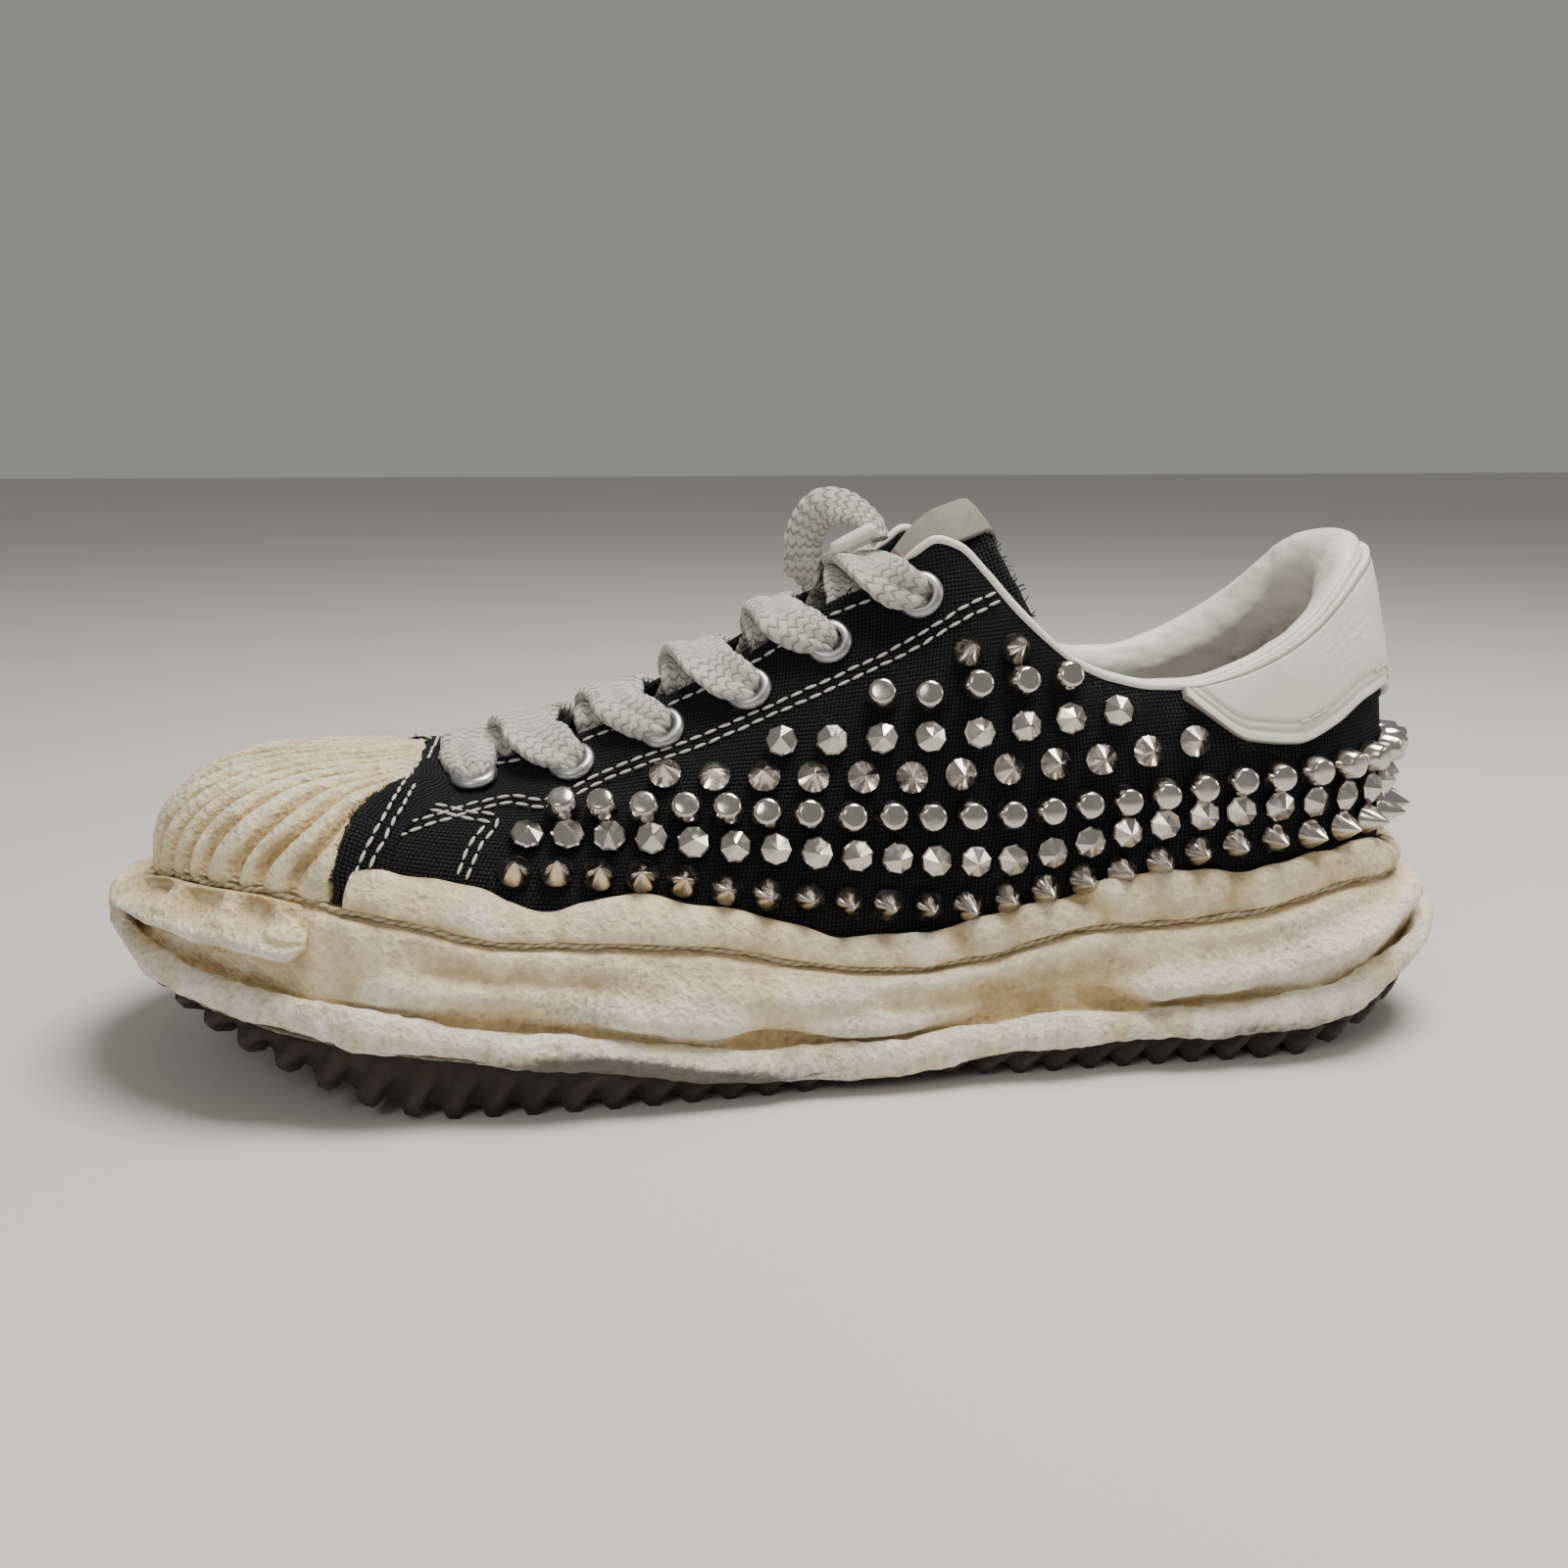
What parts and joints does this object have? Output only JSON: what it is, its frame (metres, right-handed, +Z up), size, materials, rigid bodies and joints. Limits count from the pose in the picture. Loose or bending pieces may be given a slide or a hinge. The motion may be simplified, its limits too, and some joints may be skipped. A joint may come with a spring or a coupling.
{
  "type": "low-top canvas sneaker",
  "caption": "Worn low-top canvas sneaker with a thick hand-shaped sole, ridged toe cap, metal studs and loose cotton laces.",
  "frame": {"origin": "centre of the shoe's bounding box, on the ground under the sole", "axes": "+X from toe to heel along the shoe, -Y out of the outer side, +Z up from the ground"},
  "size_m": [0.3225, 0.1236, 0.1284],
  "materials": {
    "tread_rubber": "dull dark brown rubber",
    "sole_leather": "worn cream leather, stained yellow and grey",
    "toe_cap_leather": "worn cream leather with whitened ridges",
    "black_canvas": "coarse faded black canvas",
    "white_leather": "smooth creased white leather",
    "insole_fabric": "matt grey-beige cloth",
    "label_ribbon": "woven grey ribbon",
    "eyelet_metal": "matt grey-white paint over metal",
    "stud_metal": "bright nickel",
    "lace_cotton": "thick fuzzy off-white cotton",
    "lace_tip_plastic": "smooth white plastic",
    "stitch_thread": "off-white sewing thread"
  },
  "bodies": {
    "root": {"outsole": "tread_rubber", "midsole": "sole_leather", "foxing_band": "sole_leather", "toe_bumper": "sole_leather", "toe_cap": "toe_cap_leather", "upper": "black_canvas", "heel_tab": "white_leather", "collar_lining": "white_leather", "insole": "insole_fabric", "tongue": "black_canvas", "tongue_label": "label_ribbon", "eyelet_outer_1": "eyelet_metal", "eyelet_outer_2": "eyelet_metal", "eyelet_outer_3": "eyelet_metal", "eyelet_outer_4": "eyelet_metal", "eyelet_outer_5": "eyelet_metal", "eyelet_outer_6": "eyelet_metal", "eyelet_inner_1": "eyelet_metal", "eyelet_inner_2": "eyelet_metal", "eyelet_inner_3": "eyelet_metal", "eyelet_inner_4": "eyelet_metal", "eyelet_inner_5": "eyelet_metal", "eyelet_inner_6": "eyelet_metal", "laces": "lace_cotton", "lace_end": "lace_cotton", "lace_tip": "lace_tip_plastic"}
  },
  "joints": []
}
